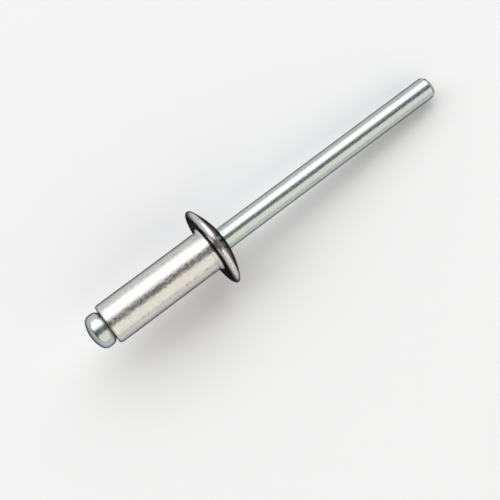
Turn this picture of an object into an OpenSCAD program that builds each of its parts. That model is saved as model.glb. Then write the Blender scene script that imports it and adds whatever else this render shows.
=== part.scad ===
// Open-end blind rivet with a domed flange, not yet set.
// A hollow aluminium body is threaded on a headed steel mandrel, and the pair lies as it comes to rest:
// on the rim of the flange and on the tail of the mandrel.
// Each piece is one section turned about the rivet's axis. In a section x is the distance from the
// axis, and y runs along it: 0 is the underside of the flange, plus is towards the tail.

/* [Shank] */
// Outside diameter of the hollow shank
shank_d = 4.8; // [4.6:0.1:5.2]
// Length of the shank from its blind end to the underside of the flange
shank_len = 13.5; // [8:0.1:16]
// Rounding of the outer edge at the blind end
shank_end_round = 0.35; // [0.15:0.05:0.4]
// Chamfer at the mouth of the bore in the blind end
mouth_chamfer = 0.18; // [0.15:0.01:0.22]
// Fillet between the shank and the underside of the flange
flange_fillet = 0.3; // [0.15:0.05:0.6]
// Clearance of the stem in the bore, on the diameter
bore_clearance = 0.1; // [0.04:0.01:0.16]

/* [Flange] */
// Outside diameter of the flange
flange_d = 9.4; // [8.8:0.1:10.4]
// Height of the dome's crown above the underside, taken on the axis
dome_h = 1.9; // [1.4:0.05:2.4]
// Radius of the rounded rim
rim_round = 0.42; // [0.2:0.01:0.5]
// Rounding where the dome turns into the hole for the stem
hole_round = 0.12; // [0.06:0.01:0.2]

/* [Mandrel stem] */
// Diameter of the stem
stem_d = 2.6; // [2.4:0.05:2.8]
// Length of stem that stands out beyond the dome's crown
stem_out = 29.1; // [26:0.1:40]
// Length of the chamfer at the tail
tail_chamfer = 0.42; // [0.2:0.02:0.6]
// Depth of the chamfer at the tail
tail_cut = 0.3; // [0.15:0.01:0.5]

/* [Mandrel head] */
// Diameter of the head
head_d = 4.05; // [3.8:0.05:4.4]
// Height of the head above the blind end
head_len = 2.15; // [1.9:0.05:2.6]
// Radius of the head's crown
head_crown = 3.5; // [2.6:0.1:5]
// Radius of the shoulder between the crown and the side
head_shoulder = 0.85; // [0.5:0.05:1]
// Radius with which the side rounds in towards the shank
head_back_round = 0.8; // [0.6:0.05:0.9]
// Width of the ring on which the head seats, outside the mouth of the bore
seat_w = 0.08; // [0.04:0.01:0.2]
// Fillet between the head and the stem
head_fillet = 0.12; // [0.05:0.01:0.14]

/* [Break neck] */
// Diameter at the root of the neck, where the stem parts when the rivet is set
neck_d = 1.9; // [1.5:0.05:2.2]
// Distance from the blind end to the middle of the neck
neck_at = 2.2; // [1.5:0.1:4]
// Length of the neck at the stem's surface
neck_w = 0.9; // [0.6:0.05:1.2]
// Length of the neck at its root
neck_root = 0.2; // [0.1:0.05:0.4]

/* [Hidden] */
$fn = 96;

// Reach of a cutting shape past the face that it cuts
past = 1;
// Depth by which a sphere is let into the rounding it runs out on, so that they meet in one clean edge
let_in = 0.0005;
shank_r = shank_d / 2;
flange_r = flange_d / 2;
stem_r = stem_d / 2;
head_r = head_d / 2;
bore_r = (stem_d + bore_clearance) / 2;

// The dome is a sphere that runs tangent into the rounded rim.
rim_x = flange_r - rim_round;
rim_hold = rim_round - let_in;
dome_rise = dome_h - rim_round;
dome_r = (rim_x * rim_x + dome_rise * dome_rise - rim_hold * rim_hold) / (2 * (dome_rise - rim_hold));
dome_y = dome_h - dome_r;
dome_edge = asin(rim_x / (dome_r - rim_hold));

// The rounding of the stem hole touches the bore and the dome.
hole_x = bore_r + hole_round;
hole_reach = dome_r - hole_round + let_in;
hole_lean = asin(hole_x / hole_reach);
hole_y = dome_y + hole_reach * cos(hole_lean);

// The head's crown is a sphere that runs tangent into the shoulder.
shoulder_x = head_r - head_shoulder;
crown_y = head_len - head_crown;
crown_reach = head_crown - head_shoulder + let_in;
crown_edge = asin(shoulder_x / crown_reach);
shoulder_y = crown_y + crown_reach * cos(crown_edge);

// The head's side rounds in until it meets its seat at an edge.
seat_r = bore_r + mouth_chamfer + seat_w;
back_x = head_r - head_back_round;
back_y = sqrt(head_back_round * head_back_round - (seat_r - back_x) * (seat_r - back_x));

// The tail, and the edge of it that touches the ground
tail_y = dome_h + stem_out;
tail_touch_y = tail_y - tail_chamfer;
tail_r = stem_r - tail_cut;

// The rest pose: one ground line touches the rim's rounding and the tail's edge.
touch_gap = norm([tail_touch_y - rim_round, rim_x - stem_r]);
rest_tilt = atan2(rim_x - stem_r, tail_touch_y - rim_round) + asin(rim_round / touch_gap);
rest_lift = rim_round + rim_round * sin(rest_tilt) + rim_x * cos(rest_tilt);
tail_reach = tail_y * cos(rest_tilt) + tail_r * sin(rest_tilt);
head_reach = head_crown + (shank_len + crown_y) * cos(rest_tilt);

rivet_body();
mandrel();

// Lays a piece down from its own upright axis.
module at_rest() {
  translate([(head_reach - tail_reach) / 2, 0, rest_lift])
    rotate([0, 90 + rest_tilt, 0])
      children();
}

// Quarter of a disc about (x, y) that reaches right and, by side, up or down.
module quarter_disc(x, y, r, side) {
  translate([x, y])
    intersection() {
      circle(r = r);
      translate([0, side > 0 ? 0 : -2 * r]) square(2 * r);
    }
}

// Wall of the shank with its blind end rounded outside and chamfered at the bore.
module shank_section() {
  round_x = shank_r - shank_end_round;
  round_y = -shank_len + shank_end_round;
  polygon([
    [bore_r, 0],
    [bore_r, -shank_len + mouth_chamfer],
    [bore_r + mouth_chamfer, -shank_len],
    [round_x, -shank_len],
    [round_x, round_y],
    [shank_r, round_y],
    [shank_r, 0]
  ]);
  quarter_disc(round_x, round_y, shank_end_round, -1);
}

// Fillet in the corner between the shank and the underside of the flange.
module fillet_section() {
  translate([shank_r, -flange_fillet])
    difference() {
      square(flange_fillet);
      translate([flange_fillet, 0]) circle(r = flange_fillet);
    }
}

// Flange: flat below, with a rounded rim and a domed top.
module flange_section() {
  intersection() {
    translate([0, dome_y]) circle(r = dome_r);
    polygon([
      [bore_r, 0],
      [rim_x, 0],
      [rim_x, rim_round],
      [rim_x + past * sin(dome_edge), rim_round + past * cos(dome_edge)],
      [bore_r, dome_h + past]
    ]);
  }
  translate([rim_x, rim_round]) circle(r = rim_round);
}

// Cut that rounds the edge of the stem hole in the dome.
module hole_edge_cut() {
  difference() {
    polygon([
      [bore_r - past, hole_y],
      [hole_x, hole_y],
      [hole_x + past * sin(hole_lean), hole_y + past * cos(hole_lean)],
      [bore_r - past, hole_y + past]
    ]);
    translate([hole_x, hole_y]) circle(r = hole_round);
  }
}

// One formed piece: the hollow shank and its flange.
module rivet_body() {
  color([0.86, 0.85, 0.82])
    at_rest()
      rotate_extrude()
        difference() {
          union() {
            shank_section();
            fillet_section();
            flange_section();
          }
          hole_edge_cut();
        }
}

// Head, drawn with its seat at 0 and its crown upwards.
module head_section() {
  polygon([[0, 0], [back_x, 0], [back_x, back_y], [head_r, back_y], [head_r, shoulder_y], [0, shoulder_y]]);
  intersection() {
    translate([back_x, back_y]) circle(r = head_back_round);
    polygon([[back_x, 0], [head_r + past, 0], [head_r + past, back_y], [back_x, back_y]]);
  }
  quarter_disc(shoulder_x, shoulder_y, head_shoulder, 1);
  intersection() {
    translate([0, crown_y]) circle(r = head_crown);
    polygon([
      [0, 0],
      [shoulder_x, 0],
      [shoulder_x, shoulder_y],
      [shoulder_x + past * sin(crown_edge), shoulder_y + past * cos(crown_edge)],
      [0, head_len + past]
    ]);
  }
}

// Stem with its break neck and chamfered tail.
module stem_section() {
  neck_y = -shank_len + neck_at;
  polygon([
    [0, -shank_len],
    [stem_r, -shank_len],
    [stem_r, neck_y - neck_w / 2],
    [neck_d / 2, neck_y - neck_root / 2],
    [neck_d / 2, neck_y + neck_root / 2],
    [stem_r, neck_y + neck_w / 2],
    [stem_r, tail_touch_y],
    [tail_r, tail_y],
    [0, tail_y]
  ]);
}

// Fillet in the corner between the stem and the seat of the head.
module head_fillet_section() {
  translate([stem_r, -shank_len])
    difference() {
      square(head_fillet);
      translate([head_fillet, head_fillet]) circle(r = head_fillet);
    }
}

// One headed wire: the head seated on the blind end, and the stem through the body.
module mandrel() {
  color([0.77, 0.79, 0.77])
    at_rest()
      rotate_extrude()
        union() {
          translate([0, -shank_len]) mirror([0, 1]) head_section();
          head_fillet_section();
          stem_section();
        }
}
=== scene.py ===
# %% [markdown]
# # An open-end blind rivet, lying as it comes to rest
# The rivet has two pieces. A hollow aluminium body, with a domed flange, is threaded on a mandrel:
# a zinc plated steel wire with a button head. The solids come from the CAD frame, which fixes every
# size and place. Here each solid is replaced by a finer turned mesh with the small faults of real
# cold-formed metal, and gets its finish.

# %% Load the frame
import math

import bpy
import numpy as np
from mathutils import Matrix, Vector


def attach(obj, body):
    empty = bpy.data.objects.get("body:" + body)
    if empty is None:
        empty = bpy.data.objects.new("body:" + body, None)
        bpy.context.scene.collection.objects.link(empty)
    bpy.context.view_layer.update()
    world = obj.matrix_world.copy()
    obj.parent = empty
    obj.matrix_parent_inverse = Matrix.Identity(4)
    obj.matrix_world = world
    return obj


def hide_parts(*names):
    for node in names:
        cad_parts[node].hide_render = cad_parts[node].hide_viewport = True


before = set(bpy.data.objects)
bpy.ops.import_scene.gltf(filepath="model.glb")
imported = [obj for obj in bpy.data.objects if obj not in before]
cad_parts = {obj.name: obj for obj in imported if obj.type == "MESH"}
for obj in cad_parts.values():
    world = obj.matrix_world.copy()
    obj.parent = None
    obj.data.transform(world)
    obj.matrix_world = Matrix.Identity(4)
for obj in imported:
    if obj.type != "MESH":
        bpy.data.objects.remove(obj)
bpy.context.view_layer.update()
MM = 0.001


def add_object(name, data):
    obj = bpy.data.objects.new(name, data)
    bpy.context.scene.collection.objects.link(obj)
    return obj


# %% [markdown]
# ## The camera
# The picture looks almost straight down on the rivet, a hand's width away, through a lens a little
# longer than normal. The near head looks bigger than the far tail, so the distance matters as much
# as the angle. A camera can be placed by hand, or, as here, by a target, two angles and a distance.

# %% Place the camera
look_at = Vector((-4.2715, -2.714, 4.720)) * MM
azimuth, elevation, distance = math.radians(-127.64), math.radians(84.0), 115.44 * MM
to_camera = Vector((math.cos(azimuth) * math.cos(elevation),
                    math.sin(azimuth) * math.cos(elevation), math.sin(elevation)))
camera = add_object("camera", bpy.data.cameras.new("camera"))
camera.location = look_at + to_camera * distance
camera.rotation_euler = (-to_camera).to_track_quat("-Z", "Y").to_euler()
camera.data.sensor_width = 36.0
camera.data.lens = 77.52
camera.data.clip_start = 0.005
bpy.context.scene.camera = camera
print("camera at", [round(c / MM, 1) for c in camera.location], "mm")

# %% [markdown]
# ## The rivet's axis
# Both pieces are round about one line. The rivet lies on the rim of its flange and on its tail, so
# that line slopes down to the tail. A point of a section is given by its distance from the axis and
# its place along it, counted in millimetres from the underside of the flange, plus to the tail.

# %% Lay out the axis
shank_r, shank_len, bore_r = 2.4, 13.5, 1.35
flange_r, dome_h, rim_round, flange_fillet = 4.7, 1.9, 0.42, 0.3
stem_r, tail_end, tail_chamfer, tail_cut = 1.3, 31.0, 0.42, 0.3
head_r, head_len, head_crown, head_shoulder = 2.025, 2.15, 3.5, 0.85

rim_x = flange_r - rim_round
tail_touch = tail_end - tail_chamfer
touch_gap = math.hypot(tail_touch - rim_round, rim_x - stem_r)
slope = math.atan2(rim_x - stem_r, tail_touch - rim_round) + math.asin(rim_round / touch_gap)
along = np.array([math.cos(slope), 0.0, -math.sin(slope)])
upward = np.array([math.sin(slope), 0.0, math.cos(slope)])
across = np.array([0.0, 1.0, 0.0])
lift = rim_round + rim_round * math.sin(slope) + rim_x * math.cos(slope)
tail_reach = tail_end * math.cos(slope) + (stem_r - tail_cut) * math.sin(slope)
head_reach = head_crown + (shank_len + head_len - head_crown) * math.cos(slope)
origin = np.array([(head_reach - tail_reach) / 2, 0.0, lift])
print("slope %.3f degrees, flange at x %.3f mm, z %.3f mm"
      % (math.degrees(slope), origin[0], origin[2]))

# %% [markdown]
# ## Drawing the sections
# A turned piece is drawn as half of its outline. Straight runs get evenly spaced points, so that a
# dent has points to move, and each edge gets the small radius that tumbling leaves on it: no real
# edge is a knife. An arc is written by its middle, its radius and the two angles it runs between.

# %% Helpers for lines and arcs
def run(a, b, pitch):
    """Points from a towards b, with the last one left to what follows."""
    count = max(1, round(math.dist(a, b) / pitch))
    return [(a[0] + (b[0] - a[0]) * k / count, a[1] + (b[1] - a[1]) * k / count)
            for k in range(count)]


def arc(x, y, r, start, end, count):
    """Points on an arc about (x, y); 0 degrees points away from the axis, 90 towards the tail."""
    turns = [math.radians(start + (end - start) * k / count) for k in range(count + 1)]
    return [(x + r * math.cos(t), y + r * math.sin(t)) for t in turns]


# %% [markdown]
# ### The body
# The body is pressed from one slug of aluminium. Its outline runs from the mouth of the bore over the
# rounded blind end, along the shank, through the fillet under the flange, round the rim, over the
# dome and back down the bore. The rim could be one plain round. A struck one is drawn out finer: it
# lifts slowly from below, as a quarter of an ellipse, and turns tightly over its crest, so that it
# catches the light in one thin line.

# %% Section of the body
def body_outline():
    end_round, mouth_round, hole_round = 0.35, 0.16, 0.12
    crest, lifted = 0.3, 0.8
    shank_pitch, flat_pitch, bore_pitch = 0.075, 0.08, 0.8
    crest_x = flange_r - crest
    rise = dome_h - rim_round
    dome_r = (crest_x ** 2 + rise ** 2 - crest ** 2) / (2 * (rise - crest))
    dome_y = dome_h - dome_r
    lean = math.degrees(math.asin(crest_x / (dome_r - crest)))
    hole_x = bore_r + hole_round
    hole_lean = math.degrees(math.asin(hole_x / (dome_r - hole_round)))
    hole_y = dome_y + (dome_r - hole_round) * math.cos(math.radians(hole_lean))
    blind = -shank_len
    mouth_y = blind + mouth_round
    flat_end = flange_r - lifted
    points = arc(bore_r + mouth_round, mouth_y, mouth_round, 180, 270, 6)
    points += arc(shank_r - end_round, blind + end_round, end_round, 270, 360, 12)
    points += run((shank_r, blind + end_round), (shank_r, -flange_fillet), shank_pitch)[1:]
    points += arc(shank_r + flange_fillet, -flange_fillet, flange_fillet, 180, 90, 12)
    points += run((shank_r + flange_fillet, 0), (flat_end, 0), flat_pitch)[1:]
    quarter = arc(0, 0, 1, -90, 0, 14)
    points += [(flat_end + lifted * x, rim_round + rim_round * y) for x, y in quarter]
    points += arc(crest_x, rim_round, crest, 0, 90 - lean, 8)[1:]
    points += arc(0, dome_y, dome_r, 90 - lean, 90 - hole_lean, 40)[1:]
    points += arc(hole_x, hole_y, hole_round, 90 - hole_lean, 180, 8)[1:]
    points += run((bore_r, hole_y), (bore_r, mouth_y), bore_pitch)[1:]
    return points


body_section = body_outline()
print("body section:", len(body_section), "points")


# %% [markdown]
# ### The mandrel
# The mandrel is a length of drawn wire. One end is upset into the button head, whose side rounds in
# again towards the body and seats on its blind end by a narrow ring. The other end is sheared to a
# blunt point. Just behind the head, inside the body, a neck is nicked into the wire: there it parts
# when the rivet is set.

# %% Section of the mandrel
def mandrel_outline():
    back_round, seat_r, head_fillet = 0.8, 1.61, 0.12
    neck_r, neck_at, neck_half, root_half = 0.95, 2.2, 0.45, 0.1
    edge_round, face_round, face_inset = 0.06, 0.05, 0.03
    side_pitch, seat_pitch, under_pitch, hidden_pitch = 0.06, 0.08, 0.3, 0.8
    stem_pitch, chamfer_pitch, face_pitch = 0.12, 0.06, 0.1
    shoulder_x = head_r - head_shoulder
    crown_y = head_len - head_crown
    lean = math.degrees(math.asin(shoulder_x / (head_crown - head_shoulder)))
    shoulder_y = crown_y + (head_crown - head_shoulder) * math.cos(math.radians(lean))
    back_x = head_r - back_round
    back_y = math.sqrt(back_round ** 2 - (seat_r - back_x) ** 2)
    turn_in = math.degrees(math.acos((seat_r - back_x) / back_round))
    seat = -shank_len
    fillet_x = stem_r + head_fillet
    neck = seat + neck_at
    shows = dome_h - 0.4
    face_r = stem_r - tail_cut - face_inset
    chamfer_start = (stem_r - edge_round, tail_touch + edge_round)
    chamfer_end = (stem_r - tail_cut, tail_end - 0.8 * face_round)
    points = arc(0, seat - crown_y, head_crown, -90, -90 + lean, 20)
    points += arc(shoulder_x, seat - shoulder_y, head_shoulder, -90 + lean, 0, 24)[1:]
    points += run((head_r, seat - shoulder_y), (head_r, seat - back_y), side_pitch)[1:]
    points += arc(back_x, seat - back_y, back_round, 0, turn_in, 18)
    points += run((seat_r, seat), (fillet_x, seat), seat_pitch)[1:]
    points += arc(fillet_x, seat + head_fillet, head_fillet, 270, 180, 6)
    points += run((stem_r, seat + head_fillet), (stem_r, neck - neck_half), under_pitch)[1:]
    points += [(stem_r, neck - neck_half), (neck_r, neck - root_half),
               (neck_r, neck + root_half), (stem_r, neck + neck_half)]
    points += run((stem_r, neck + neck_half), (stem_r, shows), hidden_pitch)[1:]
    points += run((stem_r, shows), (stem_r, tail_touch - face_round), stem_pitch)
    points += arc(stem_r - edge_round, tail_touch - edge_round / 4, edge_round, -15, 54, 5)
    points += run(chamfer_start, chamfer_end, chamfer_pitch)[1:]
    points += arc(face_r, tail_end - face_round, face_round, 40, 90, 4)
    points += run((face_r, tail_end), (0, tail_end), face_pitch)[1:]
    return points + [(0.0, tail_end)]


mandrel_section = mandrel_outline()
print("mandrel section:", len(mandrel_section), "points")


# %% [markdown]
# ## Turning a section
# A lathe in code: every point of the section becomes a ring of points about the axis, and every pair
# of rings a band of faces. A point on the axis stays one point, with a fan of triangles round it. The
# faults of the real piece are given as a function that moves points before the faces are made.

# %% Turn a section into a piece
def turn_piece(name, section, closed, around, faults):
    """A turned mesh; closed joins the end of the section to its start."""
    angles = np.linspace(0, 2 * math.pi, around, endpoint=False)
    outward = np.cos(angles)[:, None] * upward + np.sin(angles)[:, None] * across
    rows, points = [], []
    for radius, place in section:
        r, y = faults(angles, np.full(around, radius), np.full(around, place))
        if radius < 1e-6:
            rows.append([len(points)] * around)
            points.append(origin + along * y.mean())
            continue
        rows.append(list(range(len(points), len(points) + around)))
        points.extend(origin + y[:, None] * along + r[:, None] * outward)
    steps = [math.dist(a, b) for a, b in zip(section, section[1:])]
    lengths = np.concatenate([[0], np.cumsum(steps)])
    pairs = list(zip(range(len(rows) - 1), range(1, len(rows))))
    if closed:
        pairs.append((len(rows) - 1, 0))
    faces, flat_places = [], []
    for i, j in pairs:
        low = lengths[i]
        high = lengths[j] if j else lengths[i] + math.dist(section[i], section[0])
        for k in range(around):
            n = (k + 1) % around
            corners = [(rows[i][k], k, low), (rows[j][k], k, high),
                       (rows[j][n], k + 1, high), (rows[i][n], k + 1, low)]
            if rows[i][k] == rows[i][n]:
                corners.pop(3)
            elif rows[j][k] == rows[j][n]:
                corners.pop(2)
            faces.append([c[0] for c in corners])
            flat_places.extend((c[1] / around, c[2] / (lengths[-1] + 1)) for c in corners)
    mesh = bpy.data.meshes.new(name)
    mesh.from_pydata((np.array(points) * MM).tolist(), [], faces)
    flat = mesh.uv_layers.new(name="turned")
    flat.data.foreach_set("uv", np.array(flat_places, np.float32).ravel())
    mesh.polygons.foreach_set("use_smooth", [True] * len(mesh.polygons))
    mesh.validate()
    print(name, len(mesh.vertices), "points", len(mesh.polygons), "faces")
    return add_object(name, mesh)


# %% [markdown]
# ## Dents
# Rivets are tumbled and shipped loose by the hundred, and each knocks against the others. A dent could
# be sculpted by hand. Here it is one line of a list, with its place along the axis, its angle, its
# width and its depth, and a small smooth hollow is pressed in there.

# %% Helpers for dents
def turn_from(angle, degrees):
    """Turn from a given angle, at most half way round either way."""
    return (angle - math.radians(degrees) + math.pi) % (2 * math.pi) - math.pi


def dented(r, angle, place, where, wall_r, dents):
    for at, degrees, width, depth in dents:
        near = ((place - at) ** 2 + (turn_from(angle, degrees) * wall_r) ** 2) / width ** 2
        r = np.where(where, r - depth * np.exp(-3 * near), r)
    return r


# %% [markdown]
# ### Faults of the body
# The shank was pressed, so it is a hair out of round and its wall waves a little, and tumbling left
# shallow dents in it. The rim of the flange is thin: it waves more, and it has a few nicks, each
# written as an angle, a width and a depth.

# %% Make the body
body_dents = [(-9.6, 70, 0.55, 0.018), (-5.1, 25, 0.4, 0.014), (-2.7, -40, 0.5, 0.016),
              (-11.4, -15, 0.45, 0.016), (-7.0, 130, 0.6, 0.02), (-4.0, 200, 0.5, 0.02),
              (-8.3, 290, 0.6, 0.018), (-12.0, 170, 0.5, 0.016)]
rim_nicks = [(40, 0.34, 0.03), (118, 0.5, 0.035), (163, 0.3, 0.03), (251, 0.4, 0.04),
             (318, 0.45, 0.03)]
rim_starts, rim_full = rim_x - 0.4, rim_x + 0.2


def body_faults(angle, radius, place):
    outside = radius > shank_r - 0.2
    wave = (0.004 * np.sin(2 * angle + 0.4) + 0.0025 * np.sin(3 * angle + 1.7 + 0.35 * place)
            + 0.002 * np.sin(1.9 * place + 2 * angle)
            + 0.0015 * np.sin(4.3 * place - 3 * angle + 0.8))
    r = np.where(outside, radius + wave, radius)
    r = dented(r, angle, place, outside, shank_r, body_dents)
    rim = np.clip((radius - rim_starts) / (rim_full - rim_starts), 0, 1)
    r = r + rim * (0.012 * np.sin(2 * angle + 2.1) + 0.008 * np.sin(5 * angle + 0.6))
    y = place + rim * (0.012 * np.sin(2 * angle + 0.9) + 0.006 * np.sin(7 * angle))
    for degrees, width, depth in rim_nicks:
        near = (turn_from(angle, degrees) * flange_r / width) ** 2
        r = r - rim * depth * np.exp(-3 * near)
    return r, y


rivet_body = turn_piece("aluminium_body", body_section, True, 256, body_faults)
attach(rivet_body, "root")
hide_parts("rivet_body")

# %% [markdown]
# ### Faults of the mandrel
# Drawn wire is truer than a pressing, so the stem only bends and swells by microns. The head was
# struck in a die, so it sits a trace off the axis and its crown is a little lopsided. The tail was
# sheared: its end face leans and is rough.

# %% Make the mandrel
stem_dents = [(6.4, 60, 0.35, 0.01), (13.1, 5, 0.4, 0.01), (20.3, -35, 0.4, 0.012),
              (26.8, 40, 0.35, 0.012), (10.2, 190, 0.4, 0.01), (17.5, 250, 0.4, 0.012),
              (24.0, 140, 0.35, 0.01)]


def mandrel_faults(angle, radius, place):
    stem = (place > dome_h) & (radius > stem_r - 0.02)
    wave = 0.0018 * np.sin(2 * angle + 0.21 * place) + 0.0012 * np.sin(0.83 * place + angle)
    r = np.where(stem, radius + wave, radius)
    r = dented(r, angle, place, stem, stem_r, stem_dents)
    head = place < -shank_len - 0.1
    crown = place < -shank_len - 0.5
    share = radius / head_r
    r = np.where(head, r + share * (0.025 * np.sin(angle + 0.5) + 0.01 * np.sin(3 * angle)), r)
    y = np.where(crown, place + 0.02 * share * np.cos(angle - 0.7), place)
    end = place > tail_end - tail_chamfer * 0.6
    lean = 0.03 * (1 + np.cos(angle - 1.1) * radius / stem_r)
    y = np.where(end, y - lean - 0.008 * np.sin(5 * angle) * radius, y)
    return r, y


mandrel = turn_piece("steel_mandrel", mandrel_section, False, 192, mandrel_faults)
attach(mandrel, "root")
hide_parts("mandrel")


# %% [markdown]
# ## Surface effects
# Both metals show the same three things at different strengths: lines left by drawing, the fine grain
# of tumbling, and a few scratches from handling. Each is a node group, built once, that takes a
# size and puts out a mask. They read the object's own coordinates, turned to lie along the rivet and
# counted in millimetres, so the pattern runs round a piece with no seam.

# %% Helpers for nodes
def new_group(name, inputs, outputs):
    group = bpy.data.node_groups.new(name, "ShaderNodeTree")
    for label, value in inputs:
        socket = group.interface.new_socket(label, in_out="INPUT", socket_type="NodeSocketFloat")
        socket.default_value = value
    for label in outputs:
        group.interface.new_socket(label, in_out="OUTPUT", socket_type="NodeSocketFloat")
    return group, group.nodes.new("NodeGroupInput"), group.nodes.new("NodeGroupOutput")


def add(tree, kind, links=(), **settings):
    node = tree.nodes.new(kind)
    for label, value in settings.items():
        if hasattr(node, label):
            setattr(node, label, value)
        else:
            node.inputs[label.replace("_", " ")].default_value = value
    for socket, source in links:
        tree.links.new(source, node.inputs[socket])
    return node


def rivet_places(tree, stretch):
    """Coordinates in millimetres, turned to the axis, with the axis shortened by stretch."""
    own = tree.nodes.new("ShaderNodeTexCoord").outputs["Object"]
    turned = add(tree, "ShaderNodeMapping", [("Vector", own)])
    turned.inputs["Rotation"].default_value = (0, -slope, 0)
    turned.inputs["Scale"].default_value = (1 / MM / stretch, 1 / MM, 1 / MM)
    return turned.outputs["Vector"]


def span(tree, source, given, wanted):
    """Spreads a span of given values over a span of wanted ones."""
    node = add(tree, "ShaderNodeMapRange", [("Value", source)], From_Min=given[0],
               From_Max=given[1], To_Min=wanted[0], To_Max=wanted[1])
    return node.outputs["Result"]


# %% [markdown]
# ### Lines left by drawing
# Wire that is pulled through a die keeps fine lines along its length. They could be drawn one by one.
# A noise that is stretched forty times along the axis gives them all at once.

# %% Group for lines left by drawing
draw_lines, given, result = new_group("drawing lines", [("Lines per mm", 6.0)], ["Height"])
lines = add(draw_lines, "ShaderNodeTexNoise",
            [("Vector", rivet_places(draw_lines, 40)), ("Scale", given.outputs["Lines per mm"])],
            Detail=3.0, Roughness=0.65)
draw_lines.links.new(lines.outputs["Fac"], result.inputs["Height"])
print("group:", draw_lines.name)

# %% [markdown]
# ### Grain of tumbling
# Rivets are tumbled by the thousand to take off their burrs, and that leaves a fine, pitted grain. A
# noise about as coarse as the pits gives it. A second, much broader one gives patches, so that no
# colour is the same all over.

# %% Group for the grain of tumbling
tumbled, given, result = new_group("tumbled grain", [("Grains per mm", 6.0)], ["Height", "Patches"])
fine = add(tumbled, "ShaderNodeTexNoise",
           [("Vector", rivet_places(tumbled, 1.8)), ("Scale", given.outputs["Grains per mm"])],
           Detail=2.0, Roughness=0.5)
broad = add(tumbled, "ShaderNodeTexNoise", [("Vector", rivet_places(tumbled, 2.5))],
            Scale=0.7, Detail=3.0)
tumbled.links.new(fine.outputs["Fac"], result.inputs["Height"])
tumbled.links.new(broad.outputs["Fac"], result.inputs["Patches"])
print("group:", tumbled.name)

# %% [markdown]
# ### Handling scratches
# Loose rivets rub on each other in their box. The borders of a cell pattern are thin lines, which a
# little warp keeps from being straight, and a broad noise leaves only a few of them.

# %% Group for handling scratches
scratches, given, result = new_group("handling scratches", [("Size in mm", 1.5)], ["Mask"])
where = rivet_places(scratches, 1.0)
cells = add(scratches, "ShaderNodeMath", [(1, given.outputs["Size in mm"])], operation="DIVIDE")
cells.inputs[0].default_value = 1.0
warp = add(scratches, "ShaderNodeTexNoise", [("Vector", where)], Scale=0.6, Detail=2.0)
moved = add(scratches, "ShaderNodeVectorMath", [(0, where), (1, warp.outputs["Color"])],
            operation="ADD")
borders = add(scratches, "ShaderNodeTexVoronoi",
              [("Vector", moved.outputs["Vector"]), ("Scale", cells.outputs["Value"])],
              feature="DISTANCE_TO_EDGE")
thin = span(scratches, borders.outputs["Distance"], (0.0, 0.02), (1.0, 0.0))
some = add(scratches, "ShaderNodeTexNoise", [("Vector", where)], Scale=1.1, Detail=1.0)
few = span(scratches, some.outputs["Fac"], (0.55, 0.68), (0.0, 1.0))
both = add(scratches, "ShaderNodeMath", [(0, thin), (1, few)], operation="MULTIPLY")
scratches.links.new(both.outputs["Value"], result.inputs["Mask"])
print("group:", scratches.name)


# %% [markdown]
# ## Finishes
# All the finishes are one recipe at different strengths, so it is written once. It is a metal whose
# colour follows the broad patches, whose roughness follows the grain, and whose small relief is the
# drawing lines, the grain and the scratches, one raised on the other. The edge tint is the colour
# that the metal takes where it is seen at a slant; here it is painted, as painted shade or a painted
# reflection that stands in for what the surround would show.

# %% Recipe for a metal
NOISE_SPAN = (0.3, 0.7)


def new_material(name):
    material = bpy.data.materials.new(name)
    material.use_nodes = True
    return material, material.node_tree, material.node_tree.nodes["Principled BSDF"]


def use_group(tree, group, value):
    node = add(tree, "ShaderNodeGroup", node_tree=group)
    node.inputs[0].default_value = value
    return node


def ramp(tree, source, stops):
    node = add(tree, "ShaderNodeValToRGB", [("Fac", source)])
    bar = node.color_ramp.elements
    while len(bar) < len(stops):
        bar.new(0.5)
    for element, (place, colour) in zip(bar, stops):
        element.position = place
        element.color = (*colour, 1.0)
    return node.outputs["Color"]


def raised(tree, height, depth, below=None):
    node = add(tree, "ShaderNodeBump", [("Height", height)], Distance=depth * MM)
    if below:
        tree.links.new(below, node.inputs["Normal"])
    return node.outputs["Normal"]


def metal(name, colours, roughness, edge, drawn, grained, scratched):
    """A finish; each of the last three is what its group takes, and a depth in millimetres."""
    material, tree, shader = new_material(name)
    lines = use_group(tree, draw_lines, drawn[0])
    grain = use_group(tree, tumbled, grained[0])
    marks = use_group(tree, scratches, scratched[0])
    normal = raised(tree, lines.outputs["Height"], drawn[1])
    normal = raised(tree, grain.outputs["Height"], grained[1], normal)
    normal = raised(tree, marks.outputs["Mask"], scratched[1], normal)
    rough = span(tree, grain.outputs["Height"], NOISE_SPAN, roughness)
    tree.links.new(ramp(tree, grain.outputs["Patches"], colours), shader.inputs["Base Color"])
    tree.links.new(rough, shader.inputs["Roughness"])
    tree.links.new(normal, shader.inputs["Normal"])
    shader.inputs["Metallic"].default_value = 1.0
    # Painted shade: the edge tint darkens the metal where it is seen at a slant, or, on the fillet,
    # paints a bright reflection.
    shader.inputs["Specular Tint"].default_value = (*edge, 1)
    print("material:", name)
    return material


# %% [markdown]
# ### Aluminium
# The body is one metal with three finishes. On the shank shiny grains lie between rough ones, which
# frays the edge of every reflection, so the grain drives the roughness over a wide span. The flange
# was struck between smooth tools and is almost a mirror. In the picture both are dark where they are
# seen at a slant, because they mirror a dark surround there. Over this pale floor that dark is
# painted:
# the edge tint is painted shade, far darker than bare aluminium has. It draws a dark line along the
# shank, and turns the flange, seen almost edge on from above, near black but for its rim. The fillet
# between them is pale in the picture, so it gets a pale edge tint: a painted bright reflection there.

# %% Satin shank and struck flange with painted edge shade, and a fillet with a painted bright edge
aluminium = [(0.3, (0.615, 0.603, 0.583)), (0.7, (0.66, 0.645, 0.62))]
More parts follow.
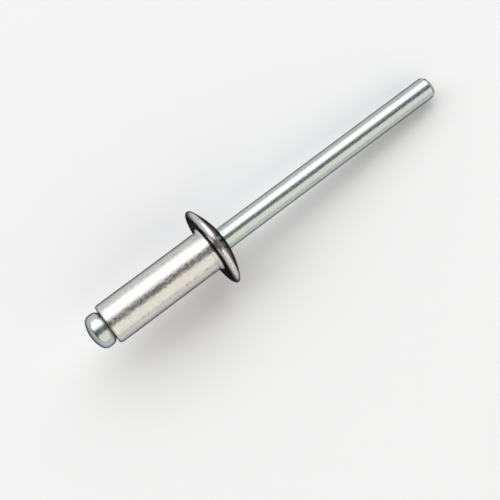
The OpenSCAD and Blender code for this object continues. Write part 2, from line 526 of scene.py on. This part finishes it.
# The edge tints are painted: the first two are painted shade at a slant, the third a painted bright
# reflection on the fillet.
for name, roughness, edge, depth in [
        ("satin aluminium, painted edge shade", (0.1, 0.38), (0.04, 0.04, 0.07), 0.012),
        ("struck aluminium, painted edge shade", (0.12, 0.18), (0.0, 0.0, 0.02), 0.003),
        ("fillet aluminium, painted bright edge", (0.12, 0.26), (0.75, 0.72, 0.66), 0.006)]:
    rivet_body.data.materials.append(
        metal(name, aluminium, roughness, edge, (4.0, depth / 2), (5.0, depth), (1.8, -0.004)))

# %% [markdown]
# ### Where each finish lies
# Each face takes its finish from its place: what lies above the underside of the flange is struck,
# what lies within the fillet's reach below it gets the painted bright edge, and the rest is satin. It
# could be picked face by face, but a rule still holds when a size changes.

# %% Give each face of the body its finish
middles = np.empty(len(rivet_body.data.polygons) * 3, np.float32)
rivet_body.data.polygons.foreach_get("center", middles)
middles = middles.reshape(-1, 3) / MM - origin
places = middles @ along
radii = np.linalg.norm(middles - places[:, None] * along, axis=1)
struck = places > -0.01
# Painted reflection: these fillet faces take the pale edge tint that paints them bright.
painted_bright_fillet = ~struck & (places > -flange_fillet) & (radii > (bore_r + shank_r) / 2)
finish = struck + 2 * painted_bright_fillet
rivet_body.data.polygons.foreach_set("material_index", finish.astype(np.int32))
print("faces: struck", int(struck.sum()), "painted_bright_fillet", int(painted_bright_fillet.sum()))

# %% [markdown]
# ### Zinc plated steel
# Zinc over drawn steel is cooler than the aluminium, with a hint of green in places, and smoother,
# because plating fills the smallest pits. The lines of drawing still show through it. Its dark edge
# tint is painted shade too, standing in for a dark surround.

# %% Zinc plated steel
zinc = [(0.3, (0.505, 0.555, 0.56)), (0.5, (0.525, 0.575, 0.56)), (0.7, (0.545, 0.575, 0.53))]
# The dark edge tint (0.03, 0.05, 0.09) is painted shade at a slant.
mandrel.data.materials.append(
    metal("zinc plated steel, painted edge shade", zinc, (0.12, 0.3), (0.03, 0.05, 0.09),
          (7.0, 0.003), (6.0, 0.004), (2.2, -0.003)))


# %% [markdown]
# ## Floor
# The rivet lies on plain pale paper. One sheet with no gloss is enough, and it is so wide that no
# view comes to its end.

# %% Floor
wide = 3.0
sheet = [(-wide, -wide, 0), (wide, -wide, 0), (wide, wide, 0), (-wide, wide, 0)]
floor_mesh = bpy.data.meshes.new("floor")
floor_mesh.from_pydata(sheet, [], [(0, 1, 2, 3)])
floor = add_object("floor", floor_mesh)
paper, tree, shader = new_material("floor paper")
shader.inputs["Base Color"].default_value = (0.84, 0.845, 0.855, 1)
shader.inputs["Roughness"].default_value = 0.9
shader.inputs["Specular IOR Level"].default_value = 0.0
floor_mesh.materials.append(paper)
print("floor of", paper.name)


# %% [markdown]
# ## Light
# Metal shows its surroundings, so the lamps are placed for what the rivet mirrors. On a round bar each
# lamp becomes a band along it. The key lamp, in the middle of a wide and dimmer one, gives the white
# band and its soft shoulders. A warm lamp on the other side gives the beige band. The gap between
# them is the dark streak, which a dim lamp overhead keeps from going black. Each lamp is written by
# the angles that it fills as the rivet sees it, because that is what the bands show.

# %% Lamps
LAMP_FAR = 1.5


def soft_lamp(name, to_side, to_tail, wide, long, strength, colour):
    """A lamp by its lean to the side and to the tail, and by the angles that it fills."""
    lamp = bpy.data.lights.new(name, "AREA")
    lamp.shape = "ELLIPSE"
    lamp.size = 2 * LAMP_FAR * math.tan(math.radians(long / 2))
    lamp.size_y = 2 * LAMP_FAR * math.tan(math.radians(wide / 2))
    lamp.color = colour
    area = math.pi / 4 * lamp.size * lamp.size_y
    lamp.energy = strength * math.pi * area
    obj = add_object(name, lamp)
    side, tail = math.tan(math.radians(to_side)), math.tan(math.radians(to_tail))
    lean = Vector((tail, side, 1.0)).normalized()
    obj.location = lean * LAMP_FAR
    obj.rotation_euler = (-lean).to_track_quat("-Z", "Y").to_euler()
    obj.visible_camera = False
    print(name, "%.2f by %.2f m" % (lamp.size, lamp.size_y))


soft_lamp("key lamp", 42, 0, 42, 136, 1.2, (1.0, 1.0, 1.0))
soft_lamp("wide lamp", 47, 0, 80, 130, 0.95, (1.0, 1.0, 1.0))
soft_lamp("warm lamp", -57, 0, 60, 124, 1.06, (1.0, 0.96, 0.86))
soft_lamp("dim lamp", -10, 5, 36, 120, 0.11, (1.0, 0.9, 0.72))

# %% [markdown]
# ### The room
# Where the metal mirrors no lamp and no floor, it mirrors the room. A grey one, far darker than the
# lamps, keeps their bands apart and still leaves no side of the rivet black.

# %% Room and view
world = bpy.data.worlds.new("studio")
bpy.context.scene.world = world
world.use_nodes = True
room = world.node_tree.nodes["Background"]
room.inputs["Color"].default_value = (0.13, 0.135, 0.15, 1)
room.inputs["Strength"].default_value = 1.0
bpy.context.scene.view_settings.view_transform = "Standard"
print("room:", world.name)
